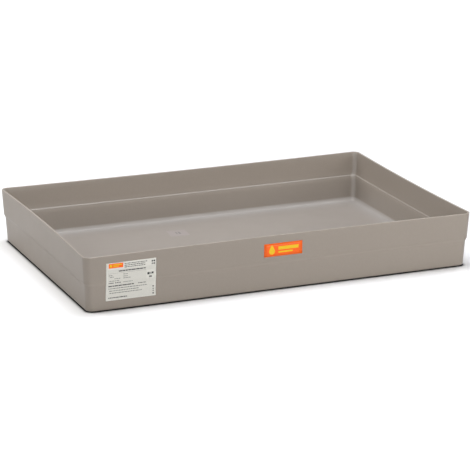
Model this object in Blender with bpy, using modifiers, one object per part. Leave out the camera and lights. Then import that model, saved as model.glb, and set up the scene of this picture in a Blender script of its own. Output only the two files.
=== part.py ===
"""Oil drain and spill tray: one glass-fibre reinforced plastic moulding with three stickers.

Metres, +Z up. The origin is the middle of the base, on the ground. X runs along the length, and
the long wall that carries the rating label and the front sticker faces -Y.

The moulding is one rounded rectangle lofted along one closed section: up the outside, over the
rim and down the inside. Each step of the section is a Level: a height, how far it lies inside
the rim's outer line, and the corner radius there.
"""

import math
from collections import namedtuple

import bmesh
import bpy
from mathutils import Matrix, Vector

# Size over the rim, and the moulding's own proportions.
LENGTH = 0.810
WIDTH = 0.530
HEIGHT = 0.110
SKIN = 0.004
DRAFT = math.tan(math.radians(3.0))
OUTER_CORNER_RADIUS = 0.014
INNER_CORNER_RADIUS = OUTER_CORNER_RADIUS - SKIN
OUTER_BASE_FILLET = 0.005
INNER_BASE_FILLET = 0.009
RIM_ROUNDING = 0.001

# The shoulder: the upper half of the wall stands out further than the lower half.
SHOULDER = 0.002
OUTER_SHOULDER_Z = (0.0500, 0.0590)
INNER_SHOULDER_Z = (0.0580, 0.0605)

# The trimmed rim is drawn in a little at the middle of each wall, and the base is straight.
LONG_WALL_BOW = 0.006
SHORT_WALL_BOW = 0.005

# How finely the walls, corners, fillets, shoulder and rim are divided.
LONG_WALL_DIVISIONS = 12
SHORT_WALL_DIVISIONS = 8
CORNER_DIVISIONS = 6
FILLET_DIVISIONS = 5
SHOULDER_DIVISIONS = 4
RIM_DIVISIONS = 2

# Stickers: printed film, with a little clearance behind it for the adhesive.
FILM = 0.0003
FILM_GAP = 0.0004
RATING_LABEL_SIZE = (0.100, 0.075)
RATING_LABEL_CENTRE = (-0.3115, 0.0570)
FRONT_STICKER_SIZE = (0.080, 0.026)
FRONT_STICKER_CENTRE = (0.0, 0.0810)
FLOOR_STICKER_SIZE = (0.040, 0.040)
FLOOR_STICKER_CENTRE = (-0.055, 0.158)
FLOOR_STICKER_TURN = math.radians(-5.0)

STONE_GREY = (0.345, 0.305, 0.270, 1.0)
LABEL_WHITE = (0.560, 0.550, 0.500, 1.0)
SIGNAL_ORANGE = (1.000, 0.150, 0.020, 1.0)
CLEAR_FILM = (0.400, 0.350, 0.330, 1.0)

Level = namedtuple("Level", "z inset radius")
Face = namedtuple("Face", "depth foot fillet corner_radius shoulder_z")

OUTSIDE = Face(0.0, 0.0, OUTER_BASE_FILLET, OUTER_CORNER_RADIUS, OUTER_SHOULDER_Z)
INSIDE = Face(SKIN, SKIN, INNER_BASE_FILLET, INNER_CORNER_RADIUS, INNER_SHOULDER_Z)


def divide(start, end, divisions):
    """The places that divide start to end into equal parts, both ends included."""
    return [start + (end - start) * i / divisions for i in range(divisions + 1)]


def smooth_step(share):
    """0 up to share 0, 1 from share 1, and an S between them."""
    share = min(max(share, 0.0), 1.0)
    return share * share * (3.0 - 2.0 * share)


def wall_inset(face, z):
    """How far one face of the wall lies inside the rim's outer line at height z."""
    low, high = face.shoulder_z
    shoulder = SHOULDER * (1.0 - smooth_step((z - low) / (high - low)))
    return face.depth + (HEIGHT - z) * DRAFT + shoulder


def bow(along, half_side, z, most):
    """How far the wall is drawn in at a place along it: a parabola that grows from base to rim."""
    return most * (z / HEIGHT) * max(0.0, 1.0 - (along / half_side) ** 2)


def long_wall_bow(x, z):
    return bow(x, LENGTH / 2 - OUTER_CORNER_RADIUS, z, LONG_WALL_BOW)


def short_wall_bow(y, z):
    return bow(y, WIDTH / 2 - OUTER_CORNER_RADIUS, z, SHORT_WALL_BOW)


def rising_levels(face, rim_share):
    """One face of the wall from its foot to the rim: fillet, shoulder and the rim's rounding."""
    levels = []
    for turn in divide(math.pi / 2, 0.0, FILLET_DIVISIONS):
        z = face.foot + face.fillet * (1.0 - math.sin(turn))
        cut = face.fillet * (1.0 - math.cos(turn))
        levels.append(Level(z, wall_inset(face, z) + cut, face.corner_radius - cut))
    for z in divide(*face.shoulder_z, SHOULDER_DIVISIONS):
        levels.append(Level(z, wall_inset(face, z), face.corner_radius))
    for turn in divide(0.0, math.pi / 2, RIM_DIVISIONS):
        z = HEIGHT - RIM_ROUNDING * (1.0 - math.sin(turn))
        cut = rim_share * RIM_ROUNDING * (1.0 - math.cos(turn))
        levels.append(Level(z, wall_inset(face, z) + cut, face.corner_radius - cut))
    return levels


def corner_points(level, sign_x, sign_y):
    """The quarter circle of one corner at a level, counter-clockwise seen from above."""
    centre_x = sign_x * (LENGTH / 2 - level.inset - level.radius)
    centre_y = sign_y * (WIDTH / 2 - level.inset - level.radius)
    start = math.atan2(sign_y, sign_x) - math.pi / 4
    return [
        (centre_x + level.radius * math.cos(angle), centre_y + level.radius * math.sin(angle))
        for angle in divide(start, start + math.pi / 2, CORNER_DIVISIONS)
    ]


def outline(level):
    """The bowed rounded rectangle at a level, counter-clockwise seen from above."""
    points = []
    corners = [(1, 1), (-1, 1), (-1, -1), (1, -1)]
    wall_divisions = [LONG_WALL_DIVISIONS, SHORT_WALL_DIVISIONS] * 2
    for i, divisions in enumerate(wall_divisions):
        corner = corner_points(level, *corners[i])
        end = corner_points(level, *corners[(i + 1) % 4])[0]
        along_x = divide(corner[-1][0], end[0], divisions)
        along_y = divide(corner[-1][1], end[1], divisions)
        points += corner + list(zip(along_x, along_y))[1:-1]
    return [bowed(x, y, level.z) for x, y in points]


def bowed(x, y, z):
    """Draws a point of the outline in by the bow of the walls that it belongs to."""
    drawn_x = abs(x) - short_wall_bow(y, z)
    drawn_y = abs(y) - long_wall_bow(x, z)
    on_short_wall = abs(x) > LENGTH / 2 - SKIN - OUTER_CORNER_RADIUS * 2
    on_long_wall = abs(y) > WIDTH / 2 - SKIN - OUTER_CORNER_RADIUS * 2
    return Vector(
        (
            math.copysign(drawn_x if on_short_wall else abs(x), x),
            math.copysign(drawn_y if on_long_wall else abs(y), y),
            z,
        )
    )


def new_object(name, bm, collection):
    mesh = bpy.data.meshes.new(name)
    bm.to_mesh(mesh)
    bm.free()
    obj = bpy.data.objects.new(name, mesh)
    collection.objects.link(obj)
    return obj


def add_material(obj, name, colour, roughness):
    made = bpy.data.materials.new(name)
    made.use_nodes = True
    shader = made.node_tree.nodes["Principled BSDF"]
    shader.inputs["Base Color"].default_value = colour
    shader.inputs["Roughness"].default_value = roughness
    shader.inputs["Metallic"].default_value = 0.0
    obj.data.materials.append(made)


def build_tray(collection):
    """Lofts the moulding ring by ring, and closes it under the base and on the floor inside."""
    section = rising_levels(OUTSIDE, 1.0) + rising_levels(INSIDE, -1.0)[::-1]
    bm = bmesh.new()
    ring = [bm.verts.new(point) for point in outline(section[0])]
    edges = [bm.edges.new((a, b)) for a, b in zip(ring, ring[1:] + ring[:1])]
    bmesh.ops.contextual_create(bm, geom=edges)
    for level in section[1:]:
        grown = bmesh.ops.extrude_edge_only(bm, edges=edges)["geom"]
        ring = [item for item in grown if isinstance(item, bmesh.types.BMVert)]
        edges = [item for item in grown if isinstance(item, bmesh.types.BMEdge)]
        for vert, point in zip(ring, outline(level), strict=True):
            vert.co = point
    bmesh.ops.contextual_create(bm, geom=edges)
    bmesh.ops.recalc_face_normals(bm, faces=bm.faces)
    tray = new_object("tray", bm, collection)
    tray.data.shade_smooth()
    tray.data.set_sharp_from_angle(angle=math.radians(40))
    return tray


def cut_across(bm, axis, places):
    """Cuts the whole mesh at each place along one axis, and leaves both sides joined."""
    normal = Matrix.Identity(3)[axis]
    for place in places:
        geom = bm.verts[:] + bm.edges[:] + bm.faces[:]
        bmesh.ops.bisect_plane(bm, geom=geom, plane_co=normal * place, plane_no=normal)


def flat_sticker(size):
    """A rectangle in the XY plane, centred on the origin."""
    bm = bmesh.new()
    bmesh.ops.create_grid(bm, x_segments=1, y_segments=1, size=0.5)
    bmesh.ops.scale(bm, vec=(*size, 1.0), verts=bm.verts)
    return bm


def thicken(sticker):
    film = sticker.modifiers.new("film", "SOLIDIFY")
    film.thickness = FILM
    film.offset = 1.0


def build_wall_sticker(name, size, centre, collection):
    """A sticker on the outer face of the front wall. It bends where the wall's own faces do."""
    bm = flat_sticker(size)
    bmesh.ops.translate(bm, vec=(*centre, 0.0), verts=bm.verts)
    cut_across(bm, 0, divide(-LENGTH / 2, LENGTH / 2, LONG_WALL_DIVISIONS))
    cut_across(bm, 1, divide(*OUTER_SHOULDER_Z, SHOULDER_DIVISIONS))
    for vert in bm.verts:
        x, z, _ = vert.co
        y = WIDTH / 2 - wall_inset(OUTSIDE, z) - long_wall_bow(x, z)
        vert.co = (x, -y - FILM_GAP, z)
    sticker = new_object(name, bm, collection)
    thicken(sticker)
    return sticker


def build_floor_sticker(name, size, centre, turn, collection):
    """A sticker on the floor inside the tray."""
    bm = flat_sticker(size)
    bmesh.ops.rotate(bm, matrix=Matrix.Rotation(turn, 3, "Z"), verts=bm.verts)
    bmesh.ops.translate(bm, vec=(*centre, SKIN + FILM_GAP), verts=bm.verts)
    sticker = new_object(name, bm, collection)
    thicken(sticker)
    return sticker


def main():
    for obj in list(bpy.data.objects):
        bpy.data.objects.remove(obj)
    parts = bpy.data.collections.new("oil_drain_tray")
    bpy.context.scene.collection.children.link(parts)

    tray = build_tray(parts)
    add_material(tray, "grp_laminate", STONE_GREY, 0.45)

    rating = build_wall_sticker("rating_label", RATING_LABEL_SIZE, RATING_LABEL_CENTRE, parts)
    add_material(rating, "label_film", LABEL_WHITE, 0.35)

    front = build_wall_sticker("front_sticker", FRONT_STICKER_SIZE, FRONT_STICKER_CENTRE, parts)
    add_material(front, "orange_film", SIGNAL_ORANGE, 0.30)

    floor = build_floor_sticker(
        "floor_sticker", FLOOR_STICKER_SIZE, FLOOR_STICKER_CENTRE, FLOOR_STICKER_TURN, parts
    )
    add_material(floor, "clear_film", CLEAR_FILM, 0.25)


main()
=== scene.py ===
"""Looks of the oil drain pan: a moulded laminate tray with three stickers, on a pale studio floor."""

import math
import random
from collections import namedtuple

import bmesh
import bpy
from mathutils import Matrix, Vector


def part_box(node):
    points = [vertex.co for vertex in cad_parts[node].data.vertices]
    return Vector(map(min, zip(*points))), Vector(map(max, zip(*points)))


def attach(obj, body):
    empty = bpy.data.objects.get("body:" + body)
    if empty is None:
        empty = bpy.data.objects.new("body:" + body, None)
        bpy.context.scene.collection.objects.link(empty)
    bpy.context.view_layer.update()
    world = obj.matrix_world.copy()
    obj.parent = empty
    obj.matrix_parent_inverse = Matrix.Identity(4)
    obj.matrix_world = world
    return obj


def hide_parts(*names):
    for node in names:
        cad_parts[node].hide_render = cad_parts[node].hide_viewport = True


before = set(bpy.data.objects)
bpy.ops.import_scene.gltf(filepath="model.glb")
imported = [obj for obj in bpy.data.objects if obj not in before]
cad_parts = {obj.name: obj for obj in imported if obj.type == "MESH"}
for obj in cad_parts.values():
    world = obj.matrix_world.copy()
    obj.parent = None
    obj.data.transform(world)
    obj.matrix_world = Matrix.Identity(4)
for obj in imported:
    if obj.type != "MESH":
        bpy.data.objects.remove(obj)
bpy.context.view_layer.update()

# ---------------------------------------------------------------- the pan's shape, in metres

# The rim is widest just below its rounding, where the draft has already taken a little off.
TRAY_LOW, TRAY_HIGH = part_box("tray")
HEIGHT = TRAY_HIGH[2]
DRAFT = math.tan(math.radians(3.0))
RIM_ROUNDING = 0.001
LENGTH = TRAY_HIGH[0] - TRAY_LOW[0] + 2 * RIM_ROUNDING * DRAFT
WIDTH = TRAY_HIGH[1] - TRAY_LOW[1] + 2 * RIM_ROUNDING * DRAFT
SKIN = 0.004
OUTER_CORNER_RADIUS = 0.014
SHOULDER = 0.002
LONG_WALL_BOW = 0.006
SHORT_WALL_BOW = 0.005

LONG_WALL_DIVISIONS = 60
SHORT_WALL_DIVISIONS = 40
CORNER_DIVISIONS = 14
FILLET_DIVISIONS = 12
SHOULDER_DIVISIONS = 10
RIM_DIVISIONS = 5
CAP_MARGIN = 0.006

CORNERS = ((1, 1), (-1, 1), (-1, -1), (1, -1))

Level = namedtuple("Level", "z inset radius")
Face = namedtuple("Face", "depth foot fillet corner_radius shoulder_z")
Print = namedtuple("Print", "left top right bottom ink")

OUTSIDE = Face(0.0, 0.0, 0.005, OUTER_CORNER_RADIUS, (0.0500, 0.0590))
INSIDE = Face(SKIN, SKIN, 0.009, OUTER_CORNER_RADIUS - SKIN, (0.0580, 0.0605))


def divide(start, end, divisions):
    return [start + (end - start) * i / divisions for i in range(divisions + 1)]


def smooth_step(share):
    share = min(max(share, 0.0), 1.0)
    return share * share * (3.0 - 2.0 * share)


def wall_inset(face, z):
    low, high = face.shoulder_z
    shoulder = SHOULDER * (1.0 - smooth_step((z - low) / (high - low)))
    return face.depth + (HEIGHT - z) * DRAFT + shoulder


def bow(along, half_side, z, most):
    return most * (z / HEIGHT) * max(0.0, 1.0 - (along / half_side) ** 2)


def long_wall_bow(x, z):
    return bow(x, LENGTH / 2 - OUTER_CORNER_RADIUS, z, LONG_WALL_BOW)


def short_wall_bow(y, z):
    return bow(y, WIDTH / 2 - OUTER_CORNER_RADIUS, z, SHORT_WALL_BOW)


def rising_levels(face, rim_share):
    """One face of the wall from its foot to the rim: fillet, shoulder and the rim's rounding."""
    levels = []
    for turn in divide(math.pi / 2, 0.0, FILLET_DIVISIONS):
        z = face.foot + face.fillet * (1.0 - math.sin(turn))
        cut = face.fillet * (1.0 - math.cos(turn))
        levels.append(Level(z, wall_inset(face, z) + cut, face.corner_radius - cut))
    low, high = face.shoulder_z
    foot_of_wall = face.foot + face.fillet
    plain = divide(foot_of_wall, low, 4)[1:-1]
    plain += divide(low, high, SHOULDER_DIVISIONS)
    plain += divide(high, HEIGHT - RIM_ROUNDING, 4)[1:-1]
    levels += [Level(z, wall_inset(face, z), face.corner_radius) for z in plain]
    for turn in divide(0.0, math.pi / 2, RIM_DIVISIONS):
        z = HEIGHT - RIM_ROUNDING * (1.0 - math.sin(turn))
        cut = rim_share * RIM_ROUNDING * (1.0 - math.cos(turn))
        levels.append(Level(z, wall_inset(face, z) + cut, face.corner_radius - cut))
    return levels


def corner_points(level, sign_x, sign_y):
    centre_x = sign_x * (LENGTH / 2 - level.inset - level.radius)
    centre_y = sign_y * (WIDTH / 2 - level.inset - level.radius)
    start = math.atan2(sign_y, sign_x) - math.pi / 4
    return [
        (centre_x + level.radius * math.cos(angle), centre_y + level.radius * math.sin(angle))
        for angle in divide(start, start + math.pi / 2, CORNER_DIVISIONS)
    ]


def bowed(x, y, z):
    on_short_wall = abs(x) > LENGTH / 2 - SKIN - OUTER_CORNER_RADIUS * 2
    on_long_wall = abs(y) > WIDTH / 2 - SKIN - OUTER_CORNER_RADIUS * 2
    drawn_x = abs(x) - (short_wall_bow(y, z) if on_short_wall else 0.0)
    drawn_y = abs(y) - (long_wall_bow(x, z) if on_long_wall else 0.0)
    return Vector((math.copysign(drawn_x, x), math.copysign(drawn_y, y), z))


def outline(level):
    """The bowed rounded rectangle at a level, counter-clockwise seen from above."""
    points = []
    for i, divisions in enumerate([LONG_WALL_DIVISIONS, SHORT_WALL_DIVISIONS] * 2):
        corner = corner_points(level, *CORNERS[i])
        end = corner_points(level, *CORNERS[(i + 1) % 4])[0]
        along_x = divide(corner[-1][0], end[0], divisions)
        along_y = divide(corner[-1][1], end[1], divisions)
        points += corner + list(zip(along_x, along_y))[1:-1]
    return [bowed(x, y, level.z) for x, y in points]


def shrunk(level):
    """A level just inside another on the same flat, which keeps the flat's shading flat."""
    return Level(level.z, level.inset + CAP_MARGIN, max(level.radius - CAP_MARGIN, 0.0008))


def new_object(name, bm, body="root"):
    mesh = bpy.data.meshes.new(name)
    bm.to_mesh(mesh)
    bm.free()
    obj = bpy.data.objects.new(name, mesh)
    bpy.context.scene.collection.objects.link(obj)
    if body:
        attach(obj, body)
    return obj


def build_tray():
    outer, inner = rising_levels(OUTSIDE, 1.0), rising_levels(INSIDE, -1.0)
    section = [shrunk(outer[0])] + outer + inner[::-1] + [shrunk(inner[0])]
    bm = bmesh.new()
    ring = [bm.verts.new(point) for point in outline(section[0])]
    edges = [bm.edges.new((a, b)) for a, b in zip(ring, ring[1:] + ring[:1])]
    bmesh.ops.contextual_create(bm, geom=edges)
    for level in section[1:]:
        grown = bmesh.ops.extrude_edge_only(bm, edges=edges)["geom"]
        ring = [item for item in grown if isinstance(item, bmesh.types.BMVert)]
        edges = [item for item in grown if isinstance(item, bmesh.types.BMEdge)]
        for vert, point in zip(ring, outline(level), strict=True):
            vert.co = point
    bmesh.ops.contextual_create(bm, geom=edges)
    bmesh.ops.recalc_face_normals(bm, faces=bm.faces)
    tray = new_object("tray_moulding", bm)
    tray.data.shade_smooth()
    return tray


# ---------------------------------------------------------------- materials


class Nodes:
    """Short calls for building a material's node tree."""

    def __init__(self, name):
        self.material = bpy.data.materials.new(name)
        self.material.use_nodes = True
        self.tree = self.material.node_tree
        self.shader = self.tree.nodes["Principled BSDF"]
        self.place = self.add("ShaderNodeTexCoord").outputs["Object"]

    def add(self, kind, settings=None, inputs=None):
        node = self.tree.nodes.new(kind)
        for key, value in (settings or {}).items():
            setattr(node, key, value)
        for key, value in (inputs or {}).items():
            if isinstance(value, bpy.types.NodeSocket):
                self.tree.links.new(value, node.inputs[key])
            else:
                node.inputs[key].default_value = value
        return node

    def noise(self, scale, detail=2.0, roughness=0.5, place=None):
        inputs = {"Vector": place or self.place, "Scale": scale, "Detail": detail, "Roughness": roughness}
        return self.add("ShaderNodeTexNoise", inputs=inputs).outputs["Fac"]

    def remap(self, value, low, high, to_low, to_high):
        inputs = {
            "Value": value,
            "From Min": low,
            "From Max": high,
            "To Min": to_low,
            "To Max": to_high,
        }
        return self.add("ShaderNodeMapRange", inputs=inputs).outputs["Result"]

    def math(self, operation, first, second):
        return self.add(
            "ShaderNodeMath", {"operation": operation}, {0: first, 1: second}
        ).outputs["Value"]

    def mix(self, factor, first, second, blend="MIX"):
        node = self.add("ShaderNodeMix", {"data_type": "RGBA", "blend_type": blend})
        for socket, value in ((node.inputs[0], factor), (node.inputs[6], first), (node.inputs[7], second)):
            if isinstance(value, bpy.types.NodeSocket):
                self.tree.links.new(value, socket)
            else:
                socket.default_value = value
        return node.outputs[2]

    def bump(self, height, distance, strength=1.0, normal=None):
        inputs = {"Height": height, "Distance": distance, "Strength": strength}
        if normal:
            inputs["Normal"] = normal
        return self.add("ShaderNodeBump", inputs=inputs).outputs["Normal"]

    def set(self, **values):
        for key, value in values.items():
            socket = self.shader.inputs[key.replace("_", " ")]
            if isinstance(value, bpy.types.NodeSocket):
                self.tree.links.new(value, socket)
            else:
                socket.default_value = value
        return self.material


def shade(colour, factor):
    return (*(channel * factor for channel in colour), 1.0)


LAMINATE = (0.325, 0.284, 0.245)
# A pale tone for painted light on level faces and low inside walls, and for painted highlights in the
# inside corners.
PAINTED_LIGHT_TONE = (0.47, 0.455, 0.44)
# A near-black tone for painted shade at the pan's foot.
FOOT_PAINTED_SHADE = (0.010, 0.010, 0.012)

# How far the painted highlight reaches from the inside fillet, how strong it is there, and how much painted
# light lies below the ledge.
HIGHLIGHT_REACH = 0.034
CORNER_HIGHLIGHT_SHARE = 0.42
LOW_INSIDE_LIGHT = 0.40
# Heights over which the painted shade at the foot fades in, fades out again, and the pale trimmed rim fades
# in.
FOOT_STARTS = (0.00005, 0.0002)
FOOT_ENDS = (0.0016, 0.0028)
CUT_EDGE_STARTS = (HEIGHT - 0.0011, HEIGHT - 0.0003)

# The studio floor: its bounce, how far out its own light sets in and is full, and how far the
# contact line reaches.
FLOOR_BOUNCE = 0.55
CONTACT_REACH = 0.013
FLOOR_EVEN_TO = 1.0
FLOOR_WHITE_FROM = 3.0


def strands(n):
    """Chopped glass strands that show faintly through the resin, lying three ways."""
    shown = None
    for turn in (0.3, 1.35, 2.4):
        inputs = {"Vector": n.place, "Rotation": (0.5 * turn, 0.9, turn), "Scale": (12.0, 1.0, 1.0)}
        place = n.add("ShaderNodeMapping", {"vector_type": "TEXTURE"}, inputs).outputs["Vector"]
        streak = n.noise(420.0, 1.0, 0.5, place)
        shown = n.math("MAXIMUM", shown, streak) if shown else streak
    return n.remap(shown, 0.50, 0.72, 0.0, 1.0)


def painted_corner_highlight(n, position, normal, height, open_faces):
    """A painted highlight in the corners of the inside: on the fillets, the floor beside them and up the
    corners.
    """
    foot = SKIN + HEIGHT * DRAFT + SHOULDER + INSIDE.fillet
    from_end = n.math("SUBTRACT", LENGTH / 2, n.math("ABSOLUTE", position["X"], 0.0))
    from_side = n.math("SUBTRACT", WIDTH / 2, n.math("ABSOLUTE", position["Y"], 0.0))
    near = n.remap(n.math("MINIMUM", from_end, from_side), foot, foot + HIGHLIGHT_REACH, 1.0, 0.0)
    low = n.remap(height, SKIN + INSIDE.fillet - 0.003, SKIN + INSIDE.fillet, 1.0, 0.0)
    beside_wall = n.math("MULTIPLY", n.math("POWER", near, 1.5), low)
    both_ways = n.math("ABSOLUTE", n.math("MULTIPLY", normal["X"], normal["Y"]), 0.0)
    up_corner = n.remap(both_ways, 0.15, 0.45, 0.0, 0.7)
    return n.math("MULTIPLY", open_faces, n.math("MAXIMUM", beside_wall, up_corner))


def painted_light_on_faces(n, position, height):
    """How much painted light the surface gets: level faces and the inside below the ledge, plus the painted
    highlight in its corners.
    """
    facing = n.add("ShaderNodeTexCoord").outputs["Normal"]
    normal = n.add("ShaderNodeSeparateXYZ", inputs={"Vector": facing}).outputs
    outward = n.add("ShaderNodeVectorMath", {"operation": "DOT_PRODUCT"}, {0: facing, 1: n.place})
    inside = n.remap(outward.outputs["Value"], -0.20, -0.05, 1.0, 0.0)
    # Level faces are made paler: painted light from above.
    level = n.remap(normal["Z"], 0.4, 1.0, 0.0, 1.0)
    # Painted bounce light from the floor on the inside walls below the ledge.
    below_ledge = n.remap(height, *INSIDE.shoulder_z, LOW_INSIDE_LIGHT, 0.0)
    paler_faces = n.math("MAXIMUM", level, n.math("MULTIPLY", inside, below_ledge))
    patchy = n.remap(n.noise(14.0, 3.0), 0.3, 0.7, 0.20, 0.26)
    # A painted highlight along the inside fillets and up the inside corners.
    painted_highlight = painted_corner_highlight(n, position, normal, height, n.math("MAXIMUM", level, inside))
    return n.math("ADD", n.math("MULTIPLY", paler_faces, patchy), n.math("MULTIPLY", painted_highlight, CORNER_HIGHLIGHT_SHARE))


def painted_shoulder_light(n, height):
    """A pale band along the outer shoulder: painted light over the shade of its downward-facing slope."""
    low, high = OUTSIDE.shoulder_z
    middle = (low + high) / 2
    rise = n.remap(height, low, middle, 0.0, 1.0)
    fall = n.remap(height, middle, high, 1.0, 0.0)
    band = n.math("MULTIPLY", rise, fall)
    return n.math("MULTIPLY", band, n.remap(n.noise(30.0, 2.0), 0.3, 0.7, 0.10, 0.20))


def laminate_material():
    """Moulded glass-fibre polyester: faint strands, painted light and highlights, painted shade at the
    foot, fine peel.
    """
    n = Nodes("laminate")
    tone = n.remap(n.noise(5.0, 2.0), 0.3, 0.7, 0.0, 0.30)
    for detail in (n.remap(n.noise(170.0, 3.0), 0.3, 0.7, 0.0, 0.20), n.math("MULTIPLY", strands(n), 0.30)):
        tone = n.math("ADD", tone, detail)
    tone = n.math("ADD", tone, n.remap(n.noise(1500.0, 2.0), 0.3, 0.7, 0.0, 0.20))
    body = n.mix(tone, shade(LAMINATE, 0.965), shade(LAMINATE, 1.035))
    position = n.add("ShaderNodeSeparateXYZ", inputs={"Vector": n.place}).outputs
    height = position["Z"]
    # Painted light: level faces and the inside below the ledge are made paler, with a painted highlight
    # along the inside fillets and corners.
    body = n.mix(painted_light_on_faces(n, position, height), body, (*PAINTED_LIGHT_TONE, 1.0))
    # Painted light on the outer shoulder, lifting the shade of its downward-facing slope.
    body = n.mix(painted_shoulder_light(n, height), body, shade(LAMINATE, 1.5))
    # Painted shade: the lowest few millimetres of the outer fillet go near black, as a contact shadow.
    off_base = n.remap(height, *FOOT_STARTS, 0.0, 1.0)
    foot = n.math("MULTIPLY", off_base, n.remap(height, *FOOT_ENDS, 0.97, 0.0))
    body = n.mix(foot, body, (*FOOT_PAINTED_SHADE, 1.0))
    cut_edge = n.remap(height, *CUT_EDGE_STARTS, 0.0, 1.0)
    fibres = n.remap(n.noise(2400.0, 3.0), 0.35, 0.65, 0.75, 1.0)
    body = n.mix(n.math("MULTIPLY", cut_edge, fibres), body, shade(LAMINATE, 1.22))
    peel = n.bump(n.noise(110.0, 2.0, 0.4), 0.0002, 0.05)
    grain = n.bump(n.noise(700.0, 2.0), 0.00002, 0.06, peel)
    rough = n.remap(n.noise(26.0, 3.0), 0.3, 0.7, 0.285, 0.335)
    return n.set(Base_Color=body, Roughness=rough, Normal=grain, IOR=1.50, Specular_IOR_Level=0.5)


def film_material(name, colour, roughness):
    """Printed sticker film: a hint of mottled ink and a fine leathery surface."""
    n = Nodes(name)
    mottle = n.noise(420.0, 3.0)
    tone = n.mix(n.remap(mottle, 0.3, 0.7, 0.0, 1.0), shade(colour, 0.965), shade(colour, 1.035))
    normal = n.bump(n.noise(900.0, 2.0), 0.00003, 0.10)
    rough = n.remap(n.noise(60.0, 2.0), 0.3, 0.7, roughness - 0.04, roughness + 0.04)
    return n.set(Base_Color=tone, Roughness=rough, Normal=normal)


def contact_shade(n):
    """A dark line painted on the floor round the pan's foot. The lights alone leave it too pale."""
    inset = wall_inset(OUTSIDE, OUTSIDE.fillet) + OUTER_CORNER_RADIUS
    straights = (LENGTH / 2 - inset, WIDTH / 2 - inset, 0.0)
    beside = n.add("ShaderNodeVectorMath", {"operation": "ABSOLUTE"}, {0: n.place}).outputs["Vector"]
    past = n.add("ShaderNodeVectorMath", {"operation": "SUBTRACT"}, {0: beside, 1: straights})
    inputs = {0: past.outputs["Vector"], 1: (0.0, 0.0, 0.0)}
    outside = n.add("ShaderNodeVectorMath", {"operation": "MAXIMUM"}, inputs)
    away = n.add("ShaderNodeVectorMath", {"operation": "LENGTH"}, {0: outside.outputs["Vector"]})
    reach = (OUTER_CORNER_RADIUS, OUTER_CORNER_RADIUS + CONTACT_REACH)
    near = n.remap(away.outputs["Value"], *reach, 1.0, 0.0)
    return n.math("MULTIPLY", n.math("POWER", near, 4.0), 0.96)


def floor_material():
    """Pale studio floor, made for looks.

    It shows brighter to the camera than the light it sends back up, gives light of its own far
    out so that it ends in plain white, and is clear from below.
    """
    n = Nodes("studio_floor")
    blotch = n.remap(n.noise(2.0, 2.0), 0.3, 0.7, 0.0, 1.0)
    tone = n.mix(blotch, (0.95, 0.95, 0.95, 1.0), (0.97, 0.97, 0.97, 1.0))
    tone = n.mix(contact_shade(n), tone, (0.0, 0.0, 0.0, 1.0))
    n.set(Base_Color=tone, Roughness=0.9, Specular_IOR_Level=0.0)
    bounce = (FLOOR_BOUNCE, FLOOR_BOUNCE, FLOOR_BOUNCE, 1.0)
    dull = n.add("ShaderNodeBsdfDiffuse", inputs={"Color": bounce})
    seen = n.add("ShaderNodeLightPath").outputs["Is Camera Ray"]
    inputs = {0: seen, 1: dull.outputs["BSDF"], 2: n.shader.outputs["BSDF"]}
    top = n.add("ShaderNodeMixShader", inputs=inputs)
    away = n.add("ShaderNodeVectorMath", {"operation": "LENGTH"}, {0: n.place}).outputs["Value"]
    n.set(Emission_Strength=n.remap(away, FLOOR_EVEN_TO, FLOOR_WHITE_FROM, 0.0, 1.0))
    n.set(Emission_Color=(1.0, 1.0, 1.0, 1.0))
    back = n.add("ShaderNodeNewGeometry").outputs["Backfacing"]
    clear = n.add("ShaderNodeBsdfTransparent").outputs["BSDF"]
    blend = n.add("ShaderNodeMixShader", inputs={0: back, 1: top.outputs["Shader"], 2: clear})
    output = n.tree.nodes["Material Output"]
    n.tree.links.new(blend.outputs["Shader"], output.inputs["Surface"])
    return n.material


# ---------------------------------------------------------------- stickers

FILM = 0.00018
FLOOR_FILM = 0.0001
INK = 0.00003
FLOOR_STICKER_LIFT = 0.00002
FLOOR_STICKER_SIDE = 40.0
FLOOR_STICKER_TURN = math.radians(-5.0)
FILM_SHOULDER = Face(0.0, 0.0, 0.005, OUTER_CORNER_RADIUS, (0.0465, 0.0593))


def on_front_wall(x, z, proud=0.0):
    """A point on the outer face of the front wall. Film bridges the hollow under the shoulder."""
    y = WIDTH / 2 - wall_inset(FILM_SHOULDER, z) - long_wall_bow(x, z)
    return Vector((x, -y - proud, z))


def thicken(sheet, film):
    solid = sheet.modifiers.new("film", "SOLIDIFY")
    solid.thickness = film
    solid.offset = 1.0


def printed_sheet(name, size, prints, place, inks, extra_u=(), extra_v=()):
    """A sheet cut along the edges of its print, each cell in the ink of the last print over it.

    Print positions are in millimetres from the top left corner. place(u, v) takes metres from
    the sheet's centre.
    """
    width, height = size
    columns = [0.0, width, *extra_u, *(p.left for p in prints), *(p.right for p in prints)]
    rows = [0.0, height, *extra_v, *(p.top for p in prints), *(p.bottom for p in prints)]
    columns, rows = (sorted({round(cut, 2) for cut in cuts}) for cuts in (columns, rows))
    bm = bmesh.new()
    bmesh.ops.create_grid(bm, x_segments=len(columns) - 1, y_segments=len(rows) - 1, size=1.0)
    for vert in bm.verts:
        column = round((vert.co.x + 1) / 2 * (len(columns) - 1))
        row = round((1 - vert.co.y) / 2 * (len(rows) - 1))
        vert.co = (columns[column], rows[row], 0.0)
    for face in bm.faces:
        middle = face.calc_center_median()
        for p in prints:
            if p.left < middle.x < p.right and p.top < middle.y < p.bottom:
                face.material_index = p.ink
    for vert in bm.verts:
        u, v = vert.co.x - width / 2, height / 2 - vert.co.y
        vert.co = place(u / 1000, v / 1000)
    sheet = new_object(name, bm)
    for ink in inks:
        sheet.data.materials.append(ink)
    return sheet


def text_line(rng, left, right, top, height, ink, word=(1.5, 6.0), gap=0.8):
    """Greeked text: a row of plain bars as long as words."""
    prints = []
    while left < right - word[0]:
        end = min(left + rng.uniform(*word), right)
        prints.append(Print(round(left, 2), top, round(end, 2), top + height, ink))
        left = end + gap
    return prints


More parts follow.
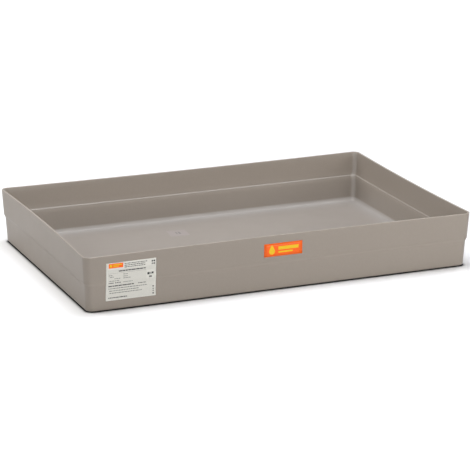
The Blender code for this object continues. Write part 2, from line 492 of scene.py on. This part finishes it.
def rating_prints():
    """The rating label's layout: header, title, table, symbol box and small print."""
    rng = random.Random(7)
    panel, paper, black, grey, pale, orange, yellow = range(1, 8)
    prints = [Print(3.2, 13.4, 97.0, 72.6, panel)]
    prints += [Print(5.0, 1.2, 34.0, 10.4, orange), Print(7.4, 3.4, 11.8, 8.2, yellow)]
    prints += [Print(14.0, 3.4, 31.0, 5.4, yellow), Print(14.0, 6.8, 25.0, 8.2, yellow)]
    for top, end in ((3.2, 82.0), (6.6, 78.0), (10.0, 80.0)):
        prints += text_line(rng, 36.6, end, top, 1.6, grey)
    for left, top, ink in ((91.0, 3.6, black), (94.8, 3.6, black), (91.0, 8.6, pale), (94.8, 8.6, grey)):
        prints.append(Print(left, top, left + 3.0, top + 3.2, ink))
    prints += text_line(rng, 25.0, 79.0, 16.2, 2.2, black, (4.0, 11.0))
    prints.append(Print(3.6, 20.6, 80.0, 20.9, pale))
    rows = ((24.0, 5.2, 13.0), (27.4, 7.0, 15.0), (31.0, 16.6, 28.0), (35.2, 5.6, 26.0))
    for top, start, end in rows:
        prints += text_line(rng, start, end, top, 1.2, pale)
    prints += text_line(rng, 5.2, 15.0, 39.2, 1.7, black) + text_line(rng, 17.8, 29.4, 39.2, 1.7, black)
    for top, end in ((23.6, 43.0), (27.8, 43.0), (31.4, 50.0), (39.2, 53.0)):
        prints += text_line(rng, 34.0, end, top, 1.2, pale)
    prints.append(Print(80.6, 21.4, 95.0, 39.0, paper))
    prints += [Print(82.4, 26.6, 87.0, 31.2, black), Print(91.0, 26.4, 94.8, 30.2, black)]
    prints += [Print(88.4, 27.0, 90.2, 30.6, grey), Print(85.6, 33.8, 91.4, 36.8, grey)]
    prints += text_line(rng, 5.2, 58.4, 45.4, 2.1, black, (3.0, 9.0))
    prints += text_line(rng, 64.4, 79.6, 45.2, 1.7, grey)
    for top, start, end in ((50.6, 5.2, 82.0), (55.2, 6.6, 66.0), (59.6, 7.2, 72.0)):
        prints += text_line(rng, start, end, top, 1.5, pale)
    prints += text_line(rng, 5.0, 42.4, 68.6, 1.8, black)
    for top, height in ((54.6, 2.6), (59.8, 1.6), (63.8, 1.6), (68.4, 2.8)):
        prints.append(Print(93.4, top, 96.2, top + height, black))
    return prints


def build_rating_label(inks):
    low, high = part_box("rating_label")
    centre_x, centre_z = (low[0] + high[0]) / 2, (low[2] + high[2]) / 2
    size = (1000 * (high[0] - low[0]), 1000 * (high[2] - low[2]))
    bends = divide(0.0, size[1], 50)
    along = divide(0.0, size[0], 10)

    def place(u, v):
        return on_front_wall(centre_x + u, centre_z + v)

    label = printed_sheet("rating_label_film", size, rating_prints(), place, inks, along, bends)
    label.data.shade_smooth()
    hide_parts("rating_label")
    thicken(label, FILM)


def drop_outline(centre, radius, tip, steps=40):
    """A drop: a circle below, drawn out to a point at the top."""
    points = []
    for turn in divide(0.0, 2 * math.pi, steps)[:-1]:
        across, up = math.sin(turn), -math.cos(turn)
        stretch = smooth_step(up) * (tip - radius)
        slim = 1.0 - 0.55 * smooth_step(up)
        points.append((centre[0] + radius * across * slim, centre[1] + radius * up + stretch))
    return points


def ink_shape(name, points, place, material):
    """A flat printed shape, a hair proud of its film."""
    bm = bmesh.new()
    bm.faces.new([bm.verts.new((x, y, 0.0)) for x, y in points])
    bmesh.ops.triangulate(bm, faces=bm.faces)
    for vert in bm.verts:
        vert.co = place(vert.co.x, vert.co.y)
    shape = new_object(name, bm)
    shape.data.materials.append(material)
    thicken(shape, INK)
    return shape


def build_front_sticker(inks):
    """An orange sticker with a yellow drop and two plain yellow bars."""
    low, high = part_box("front_sticker")
    centre_x, centre_z = (low[0] + high[0]) / 2, (low[2] + high[2]) / 2
    size = (1000 * (high[0] - low[0]), 1000 * (high[2] - low[2]))
    prints = [Print(30.0, 7.0, 72.0, 13.6, 1), Print(30.0, 16.6, 60.0, 19.4, 1)]

    def place(u, v):
        return on_front_wall(centre_x + u, centre_z + v)

    def place_ink(u, v):
        return on_front_wall(centre_x + u, centre_z + v, FILM + INK)

    bends = (divide(0, size[0], 8), divide(0, size[1], 4))
    sticker = printed_sheet("front_sticker_film", size, prints, place, inks, *bends)
    sticker.data.shade_smooth()
    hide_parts("front_sticker")
    thicken(sticker, FILM)
    outline_points = drop_outline((-0.0235, -0.0025), 0.0062, 0.0118)
    drop = ink_shape("front_sticker_drop", outline_points, place_ink, inks[1])


def build_floor_sticker(film, ink):
    low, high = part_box("floor_sticker")
    centre = Vector(((low[0] + high[0]) / 2, (low[1] + high[1]) / 2, SKIN))
    turn = Matrix.Rotation(FLOOR_STICKER_TURN, 3, "Z")
    prints = [Print(15.0, 12.0, 18.0, 26.0, 1), Print(20.5, 12.0, 25.0, 27.0, 1)]

    def place(u, v):
        return centre + turn @ Vector((u, v, FLOOR_STICKER_LIFT))

    size = (FLOOR_STICKER_SIDE, FLOOR_STICKER_SIDE)
    sticker = printed_sheet("floor_sticker_film", size, prints, place, [film, ink])
    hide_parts("floor_sticker")
    thicken(sticker, FLOOR_FILM)


# ---------------------------------------------------------------- studio

MIDDLE = (0.0, 0.0, 0.05)
FRONT_TINT = (1.0, 0.986, 0.966)
TOP_TINT = (0.913, 0.938, 1.0)
OPENING_MARGIN = 0.0145
FLOOR_HALF_SIZE = 30.0


def area_light(name, place, aim, size, power, colour=(1.0, 1.0, 1.0)):
    light = bpy.data.lights.new(name, "AREA")
    light.shape = "RECTANGLE"
    light.size, light.size_y = size
    light.energy = power
    light.color = colour
    lamp = bpy.data.objects.new(name, light)
    lamp.location = place
    lamp.rotation_euler = (Vector(aim) - Vector(place)).to_track_quat("-Z", "Y").to_euler()
    bpy.context.scene.collection.objects.link(lamp)


def around(azimuth, elevation, distance):
    """A light's place round the pan, and the point it aims at. Azimuth 0 is in front of the pan."""
    a, e = math.radians(azimuth), math.radians(elevation)
    place = (math.sin(a) * math.cos(e), -math.cos(a) * math.cos(e), math.sin(e))
    return tuple(distance * c for c in place), MIDDLE


def build_world():
    world = bpy.data.worlds.new("studio")
    world.use_nodes = True
    background = world.node_tree.nodes["Background"]
    background.inputs["Color"].default_value = (1.0, 1.0, 1.0, 1.0)
    background.inputs["Strength"].default_value = 0.02
    bpy.context.scene.world = world


def build_lights():
    area_light("front_fill", *around(3.0, 15.0, 3.5), (1.6, 1.2), 51.5, FRONT_TINT)
    area_light("left_front_fill", *around(300.0, 15.0, 3.6), (1.6, 1.2), 14.5, FRONT_TINT)
    area_light("right_back_fill", *around(120.0, 15.0, 3.6), (1.6, 1.2), 42.0, FRONT_TINT)
    area_light("back_fill", *around(180.0, 15.0, 3.6), (1.6, 1.2), 3.6, TOP_TINT)
    area_light("right_front_kicker", (1.0, -1.3, 0.45), MIDDLE, (0.6, 0.5), 4.9, FRONT_TINT)
    area_light("left_back_kicker", (-1.7, 0.8, 0.8), MIDDLE, (0.8, 0.6), 13.5, FRONT_TINT)
    area_light("top_softbox", (0.0, 0.0, 2.6), MIDDLE, (1.0, 1.0), 21.2, TOP_TINT)
    area_light("top_left_softbox", (-1.0, 0.0, 2.6), MIDDLE, (1.0, 1.0), 24.0, FRONT_TINT)
    area_light("top_right_softbox", (1.0, 0.0, 2.6), MIDDLE, (1.0, 1.0), 16.8, TOP_TINT)
    area_light("top_back_softbox", (0.0, 1.0, 2.6), MIDDLE, (1.0, 1.0), 15.1, TOP_TINT)
    area_light("underside_softbox", (0.0, 0.0, -2.0), MIDDLE, (1.4, 1.0), 50.0)


def build_floor():
    """A wide floor with an opening hidden under the base, for the lamp that lights the underside."""
    bm = bmesh.new()
    half_x, half_y = LENGTH / 2 - OPENING_MARGIN, WIDTH / 2 - OPENING_MARGIN
    opening = [bm.verts.new((x * half_x, y * half_y, 0.0)) for x, y in CORNERS]
    edge = [bm.verts.new((x * FLOOR_HALF_SIZE, y * FLOOR_HALF_SIZE, 0.0)) for x, y in CORNERS]
    for i in range(4):
        bm.faces.new((opening[i], opening[i - 1], edge[i - 1], edge[i]))
    floor = new_object("studio_floor", bm, body=None)
    floor.data.materials.append(floor_material())


CAMERA_AZIMUTH = math.radians(-22.5742)
CAMERA_ELEVATION = math.radians(16.5892)
CAMERA_ROLL = math.radians(-0.1196)
CAMERA_LENS = 177.88
CAMERA_SENSOR = 36.0
# How far right, up and back the camera stands, in multiples of the pan's length.
CAMERA_STAND = (0.0085, 0.0441, 5.8174)


def build_camera():
    """Stands where the photographer did. Azimuth 0 is in front of the pan."""
    azimuth, elevation = CAMERA_AZIMUTH, CAMERA_ELEVATION
    back = Vector(
        (
            math.sin(azimuth) * math.cos(elevation),
            -math.cos(azimuth) * math.cos(elevation),
            math.sin(elevation),
        )
    )
    right = (-back).cross(Vector((0.0, 0.0, 1.0))).normalized()
    up = right.cross(-back)
    turned = Matrix.Rotation(-CAMERA_ROLL, 3, back)
    right, up = turned @ right, turned @ up
    data = bpy.data.cameras.new("camera")
    data.sensor_width = CAMERA_SENSOR
    data.lens = CAMERA_LENS
    data.clip_end = 200.0
    camera = bpy.data.objects.new("camera", data)
    across, above, away = CAMERA_STAND
    stand = (across * right + above * up + away * back) * LENGTH
    camera.matrix_world = Matrix.Translation(stand) @ Matrix((right, up, back)).transposed().to_4x4()
    bpy.context.scene.collection.objects.link(camera)
    bpy.context.scene.camera = camera


def main():
    bpy.context.scene.view_settings.view_transform = "Standard"
    tray = build_tray()
    tray.data.materials.append(laminate_material())
    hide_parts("tray")
    white = film_material("label_white", (0.74, 0.73, 0.68), 0.38)
    panel = film_material("label_panel", (0.67, 0.66, 0.61), 0.38)
    black = film_material("label_black", (0.04, 0.04, 0.04), 0.40)
    grey = film_material("label_grey", (0.11, 0.11, 0.10), 0.40)
    pale = film_material("label_pale_grey", (0.20, 0.20, 0.185), 0.40)
    orange = film_material("sticker_orange", (1.0, 0.135, 0.001), 0.34)
    yellow = film_material("sticker_yellow", (0.88, 0.56, 0.006), 0.34)
    paper = film_material("label_paper", (0.73, 0.72, 0.67), 0.38)
    clear = film_material("clear_film", (0.400, 0.357, 0.340), 0.34)
    mark = film_material("clear_film_mark", (0.235, 0.217, 0.207), 0.34)
    build_rating_label([white, panel, paper, black, grey, pale, orange, yellow])
    build_front_sticker([orange, yellow])
    build_floor_sticker(clear, mark)
    build_world()
    build_lights()
    build_floor()
    build_camera()


main()
